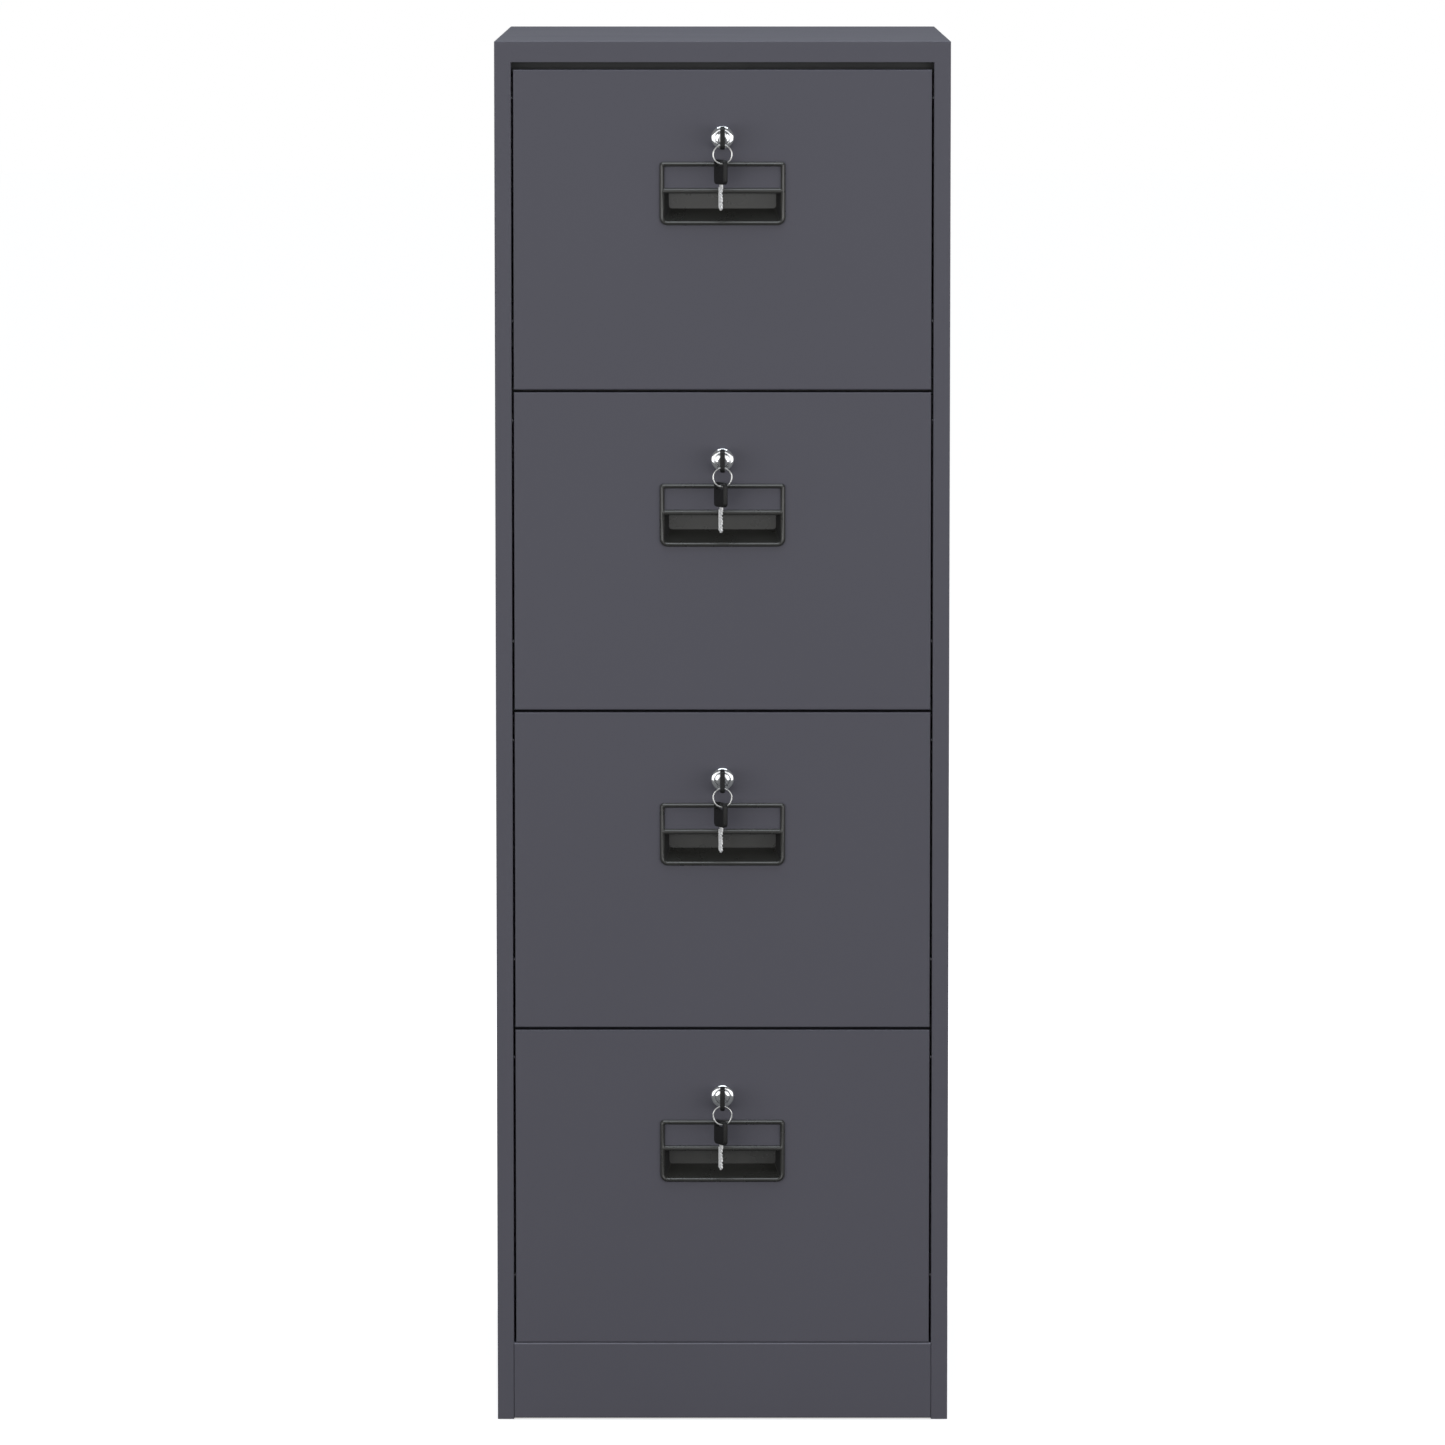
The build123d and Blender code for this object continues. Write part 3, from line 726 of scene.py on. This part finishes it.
def makeKeyHead():
    look = keyLook
    start = -look["slotWidth"] / 2 - look["slotMargin"]
    half, thick = look["headWidth"] / 2, look["headThickness"] / 2
    head = addBlock("key_head", (start, -half, -thick), (start + look["headLength"], half, thick))
    roundEdges(head, runsAlong(2), look["corner"], 8)
    roundEdges(head, lambda a, b: a.z * b.z > 0, look["rim"], 4)
    wide, long, tall = look["slotWidth"] / 2, look["slotLength"] / 2, look["headThickness"]
    slot = addBlock("slot", (-wide, -long, -tall), (wide, long, tall))
    roundEdges(slot, runsAlong(2), look["slotRound"], 7)
    join(head, slot, "DIFFERENCE")
    softenAll(head, look["edge"], 2, 40)
    return shade(head)


def makeKeyBlade():
    look = keyLook
    start = look["headLength"] - look["slotMargin"] - look["slotWidth"] / 2
    end = start + look["bladeLength"]
    half = look["bladeWidth"] / 2
    root = start - look["bladeRoot"]
    outline = [(root, -half + look["neckDepth"]),
               (start + look["neck"] - look["neckSlope"], -half + look["neckDepth"]),
               (start + look["neck"], -half), (end - look["tipLength"], -half)]
    outline += [(end + x, y) for x, y in look["tipCurve"]]
    x = end - look["firstCut"]
    for depth in look["cutDepths"]:
        outline += [(x, half - look["cutStart"]),
                    (x - look["cutSpacing"] * look["cutSlope"], half - depth),
                    (x - look["cutSpacing"] * look["cutFlat"], half - depth)]
        x -= look["cutSpacing"]
    outline += [(x, half), (root, half)]
    thick = look["bladeThickness"]
    points = [(px, py, -thick / 2) for px, py in outline]
    blade = drawLine("key_blade", points)
    thicken(blade, (0, 0, thick))
    for place, width in look["grooves"]:
        for side in (-1, 1):
            surface = side * thick / 2
            depths = sorted((surface - side * look["grooveDepth"], surface + side * look["past"]))
            cutter = addBlock("groove", (start + look["grooveStart"], place - width / 2, depths[0]),
                              (end + look["past"], place + width / 2, depths[1]))
            join(blade, cutter, "DIFFERENCE")
    softenAll(blade, look["bladeEdge"], 1, 30)
    return shade(blade, 25)


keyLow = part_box("drawer_1_key")[0]
spareLow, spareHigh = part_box("drawer_1_spare_key")
slotInset = keyLook["slotMargin"] + keyLook["slotWidth"] / 2  # slot's centre from the head's end
spareTurn = radians(63)  # how far the spare key is turned away from the drawer front
across = Vector((cos(spareTurn), -sin(spareTurn), 0))
down = Vector((0, 0, -1))


def placeOf(origin, along, sideways):
    # the matrix that lays the drawn key along one direction, its width along another
    turned = Matrix((along, sideways, along.cross(sideways))).transposed().to_4x4()
    return Matrix.Translation(origin) @ turned


keyPlaces = {
    "key": placeOf(Vector((lockX, keyLow.y + slotInset, lockZ)), Vector((0, 1, 0)), Vector((0, 0, 1))),
    "spare_key": placeOf(Vector(((spareLow.x + spareHigh.x) / 2, (spareLow.y + spareHigh.y) / 2,
                                 spareHigh.z - slotInset)), down, across)}
keyBodies = {"key": "lock", "spare_key": "spare_key"}
head, blade = makeKeyHead(), makeKeyBlade()
for kind, place in keyPlaces.items():
    for n in drawers:
        whole = Matrix.Translation(drop[n]) @ place
        newHead = copyTo(head, f"{kind}_head_{n}", whole)
        newBlade = copyTo(blade, f"{kind}_blade_{n}", whole)
        dress(newHead, f"{keyBodies[kind]}_{n}", keyPlastic,
              [f"drawer_{n}_{kind}"])
        dress(newBlade, f"{keyBodies[kind]}_{n}", bladeNickelHighlight)
for pattern in (head, blade):
    bpy.data.objects.remove(pattern)
print("keys done")


# split rings: flattened wire wound twice round

ringLook = {"wireAcross": 0.00075, "wireAlong": 0.00046, "pitch": 0.00094, "turns": 1.97, "steps": 150,
            "splitAngle": radians(-38)}


def makeRing():
    look = ringLook
    low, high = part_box("drawer_1_key_ring")
    centre = (low + high) / 2
    radius = (high.x - low.x) / 2 - look["wireAcross"]
    objectMode()
    bpy.ops.object.select_all(action="DESELECT")
    bpy.ops.mesh.primitive_circle_add(vertices=14, radius=1)
    ring = bpy.context.object
    ring.name = "key_ring_1"
    ring.scale = (look["wireAcross"], look["wireAlong"], 1)
    ring.location = (radius, -look["pitch"] * look["turns"] / 2, 0)
    freeze(ring)
    winding = ring.modifiers.new("winding", "SCREW")
    winding.axis = "Y"
    winding.angle = tau * look["turns"]
    winding.screw_offset = look["pitch"] * look["turns"]
    winding.steps = winding.render_steps = look["steps"]
    applyModifier(ring, winding)
    takeUp(ring)
    bpy.ops.object.mode_set(mode="EDIT")
    bpy.ops.mesh.select_mode(type="EDGE")
    bpy.ops.mesh.select_all(action="DESELECT")
    bpy.ops.mesh.select_non_manifold()
    bpy.ops.mesh.edge_face_add()
    bpy.ops.mesh.select_all(action="SELECT")
    bpy.ops.mesh.normals_make_consistent(inside=False)
    objectMode()
    ring.data.transform(Matrix.Translation(centre) @ Matrix.Rotation(-look["splitAngle"], 4, "Y"))
    return shade(ring, 40)


ring = makeRing()
for n in drawers:
    piece = ring if n == 1 else copyTo(ring, f"key_ring_{n}", drop[n])
    dress(piece, f"key_ring_{n}", nickel, [f"drawer_{n}_key_ring"])
print("rings done")


# slides: balls in their cages, and a stop on the front end of each outer member

ballLook = {"radius": 0.0016, "spacing": 0.0125, "count": 17, "start": 0.020, "strip": 0.0004,
            "arm": 0.0019, "steel": 0.0012, "rowInset": 0.0046, "memberHalf": 0.02275}
stopLook = {"width": 0.0026, "length": 0.0035, "edge": 0.0004}


def makeCage(name, outer, inner, stripX):
    # two rows of balls on the bent-over edges of a strip, for the members on the right
    look = ballLook
    z = (inner[0].z + inner[1].z) / 2
    rowZ = ((outer[1].z - z - look["steel"]) + (inner[1].z - z)) / 2
    rowX = stripX - look["rowInset"]
    startY = max(outer[0].y, inner[0].y) + look["start"]
    endY = startY + look["spacing"] * (look["count"] - 1)
    margin, half = look["spacing"] / 2, look["strip"] / 2
    strip = addBlock(name, (stripX - half, startY - margin, z - rowZ),
                     (stripX + half, endY + margin, z + rowZ))
    pieces = [strip]
    for edge in (z - rowZ, z + rowZ):
        pieces.append(addBlock("arm", (rowX - look["arm"], startY - margin, edge - half),
                               (stripX - half, endY + margin, edge + half)))
        for index in range(look["count"]):
            objectMode()
            bpy.ops.object.select_all(action="DESELECT")
            bpy.ops.mesh.primitive_uv_sphere_add(
                segments=8, ring_count=6, radius=look["radius"],
                location=(rowX, startY + index * look["spacing"], edge))
            pieces.append(freeze(bpy.context.object))
    objectMode()
    bpy.ops.object.select_all(action="DESELECT")
    for part in pieces:
        part.select_set(True)
    bpy.context.view_layer.objects.active = strip
    bpy.ops.object.join()
    return shade(strip, 60)


outerLow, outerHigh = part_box("slide_outer_members")
middleBox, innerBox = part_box("drawer_1_slide_middle"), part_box("drawer_1_slide_inner")
memberHalf = ballLook["memberHalf"]
slideZ = (innerBox[0].z + innerBox[1].z) / 2
outerBox = (Vector((0, outerLow.y, slideZ - memberHalf)),
            Vector((outerHigh.x, outerHigh.y, slideZ + memberHalf)))
outerWeb = outerHigh.x - ballLook["steel"]
middleWeb = middleBox[1].x - ballLook["steel"]
cages = {"cabinet": makeCage("outer_cage", outerBox, middleBox, (outerWeb + middleBox[1].x) / 2),
         "slide_middle": makeCage("inner_cage", middleBox, innerBox, (middleWeb + innerBox[1].x) / 2)}
stop = addBlock("slide_stop",
                (outerHigh.x - stopLook["width"], outerLow.y - stopLook["length"], slideZ - memberHalf),
                (outerHigh.x, outerLow.y, slideZ + memberHalf))
roundEdges(stop, lambda a, b: max(a.y, b.y) < outerLow.y - 0.001, stopLook["edge"], 3)
flip = Matrix.Diagonal((-1, 1, 1, 1))


def placeBothSides(pattern, name, body, material):
    for n in drawers:
        for side, mirrored in (("right", Matrix.Identity(4)), ("left", flip)):
            piece = copyTo(pattern, f"{name}_{n}_{side}", Matrix.Translation(drop[n]) @ mirrored)
            if side == "left":
                piece.data.flip_normals()
            dress(piece, f"{body}_{n}" if body == "slide_middle" else body, material)
    bpy.data.objects.remove(pattern)


placeBothSides(cages["cabinet"], "outer_cage", "cabinet", zincPlate)
placeBothSides(cages["slide_middle"], "inner_cage", "slide_middle", zincPlate)
placeBothSides(stop, "slide_stop", "cabinet", keyPlastic)
print("slides done")


# screws in the rear flanges, buffers in the side gaps

screwLow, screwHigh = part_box("carcass_screws")
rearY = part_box("left_side_panel")[1].y
rowHalf = screwHigh.x - screwLook["radius"]
screwCount = 5
firstZ, lastZ = screwLow.z + screwLook["radius"], screwHigh.z - screwLook["radius"]
for side in (-1, 1):
    for index in range(screwCount):
        z = firstZ + (lastZ - firstZ) * index / (screwCount - 1)
        turned = Matrix.Rotation(radians(23 + 61 * index + 17 * side), 4, "Y")
        piece = copyTo(screw, f"rear_screw_{'left' if side < 0 else 'right'}_{index + 1}",
                       Matrix.Translation((side * rowHalf, rearY, z)) @ turned)
        stands = ["carcass_screws"] if index == 0 and side == 1 else ()
        dress(piece, "cabinet", zincPlate, stands)
bpy.data.objects.remove(screw)

bufferLook = {"drops": (0.027, 0.2395), "height": 0.002, "thickness": 0.0014, "edge": 0.0005}
bufferLow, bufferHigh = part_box("gap_buffers")


def makeBuffer():
    look = bufferLook
    z = drawerTop[1] - look["drops"][0]
    block = addBlock("buffer",
                     (bufferHigh.x - look["thickness"], bufferLow.y, z - look["height"] / 2),
                     (bufferHigh.x, bufferHigh.y, z + look["height"] / 2))
    softenAll(block, look["edge"], 3, 50)
    return shade(block)


bufferPattern = makeBuffer()
halfTurn = Matrix.Rotation(pi, 4, "Z") @ Matrix.Translation((0, -bufferLow.y - bufferHigh.y, 0))
for n in drawers:
    for level, down in enumerate(bufferLook["drops"]):
        for side in (-1, 1):
            place = Matrix.Translation(drop[n] + Vector((0, 0, bufferLook["drops"][0] - down)))
            if side < 0:
                place = place @ halfTurn
            sideName = "left" if side < 0 else "right"
            piece = copyTo(bufferPattern, f"buffer_{n}_{level + 1}_{sideName}", place)
            stands = ["gap_buffers"] if n == 1 and level == 0 and side == 1 else ()
            dress(piece, "cabinet", greyPlastic, stands)
bpy.data.objects.remove(bufferPattern)
print("small parts done")


# floor, light and camera

stageLook = {"floorSize": 60.0, "floorAlbedo": 0.18, "floorSeen": 0.80, "glowNear": 0.62,
             "glowFar": 0.84, "glowFrom": 0.6, "glowTo": 3.0, "ambient": 0.20,
             "ambientTint": (0.96, 0.98, 1)}
# each lamp: place, aim, size, power and tint
lampLook = {
    "top_light": ((0, -0.65, 4.0), (0, -0.65, 0), (3.2, 3.5), 94.0, (0.89, 0.95, 1.0)),
    "front_light": ((0, -9.6, 1.4), (0, -0.3, 0.7), (9.0, 2.8), 76.0, (1, 1, 1)),
    "left_light": ((-2.9, -3.2, 0.95), (0, -0.3, 0.45), (4.4, 1.9), 50.5, (1, 1, 1)),
    "right_light": ((2.9, -3.2, 0.95), (0, -0.3, 0.45), (4.4, 1.9), 50.5, (1, 1, 1)),
    "left_rear_light": ((-3.8, 2.3, 1.6), (0, 0, 0.8), (3.2, 2.8), 62.0, (1, 1, 1)),
    "right_rear_light": ((3.8, 2.3, 1.6), (0, 0, 0.8), (3.2, 2.8), 62.0, (1, 1, 1))}


def makeFloor():
    objectMode()
    bpy.ops.object.select_all(action="DESELECT")
    bpy.ops.mesh.primitive_plane_add(size=stageLook["floorSize"], location=(0, 0, -0.0005))
    floor = bpy.context.object
    floor.name = "floor"
    material, tree, shader = startMaterial("paleFloor", Roughness=0.8, Specular_IOR_Level=0.1)
    shader.inputs["Emission Color"].default_value = (1, 1, 1, 1)
    path = tree.nodes.new("ShaderNodeLightPath")
    seen = path.outputs["Is Camera Ray"]
    dim, pale = (stageLook["floorAlbedo"],) * 3, (stageLook["floorSeen"],) * 3
    tree.links.new(mixColours(tree, seen, dim, pale), shader.inputs["Base Color"])
    place = tree.nodes.new("ShaderNodeTexCoord")
    away = addNode(tree, "ShaderNodeVectorMath", operation="LENGTH")
    tree.links.new(place.outputs["Object"], away.inputs[0])
    glow = rangeOf(tree, away.outputs["Value"], stageLook["glowFrom"], stageLook["glowTo"],
                   stageLook["glowNear"], stageLook["glowFar"])
    tree.links.new(mathOf(tree, "MULTIPLY", seen, glow), shader.inputs["Emission Strength"])
    floor.data.materials.append(material)


def addSoftbox(name, place, aim, size, power, tint):
    lamp = bpy.data.lights.new(name, "AREA")
    lamp.shape = "RECTANGLE"
    lamp.size, lamp.size_y = size
    lamp.energy = power
    lamp.color = tint
    lampObject = bpy.data.objects.new(name, lamp)
    bpy.context.scene.collection.objects.link(lampObject)
    lampObject.visible_camera = False
    lampObject.location = place
    lampObject.rotation_euler = (Vector(aim) - Vector(place)).to_track_quat("-Z", "Y").to_euler()


def makeLight():
    world = bpy.data.worlds.new("studio")
    bpy.context.scene.world = world
    world.use_nodes = True
    tree = world.node_tree
    lit = tree.nodes["Background"]
    lit.inputs["Color"].default_value = (*stageLook["ambientTint"], 1)
    lit.inputs["Strength"].default_value = stageLook["ambient"]
    seen = tree.nodes.new("ShaderNodeBackground")
    seen.inputs["Color"].default_value = (1, 1, 1, 1)
    path = tree.nodes.new("ShaderNodeLightPath")
    mix = tree.nodes.new("ShaderNodeMixShader")
    tree.links.new(path.outputs["Is Camera Ray"], mix.inputs["Fac"])
    tree.links.new(lit.outputs["Background"], mix.inputs[1])
    tree.links.new(seen.outputs["Background"], mix.inputs[2])
    tree.links.new(mix.outputs["Shader"], tree.nodes["World Output"].inputs["Surface"])
    for name, values in lampLook.items():
        addSoftbox(name, *values)


cameraLook = {"distance": 8.0, "height": 1.523, "aimHeight": 0.678, "seenWidth": 1.379, "sensor": 36.0}


def makeCamera():
    look = cameraLook
    lens = bpy.data.cameras.new("camera")
    lens.sensor_width = look["sensor"]
    lens.lens = look["sensor"] * look["distance"] / look["seenWidth"]
    lens.clip_end = 100
    camera = bpy.data.objects.new("camera", lens)
    bpy.context.scene.collection.objects.link(camera)
    place = Vector((0, faceY - look["distance"], look["height"]))
    aim = Vector((0, faceY, look["aimHeight"]))
    camera.location = place
    camera.rotation_euler = (aim - place).to_track_quat("-Z", "Y").to_euler()
    bpy.context.scene.camera = camera


makeFloor()
makeLight()
makeCamera()
bpy.context.scene.view_settings.view_transform = "Standard"
print("stage set")
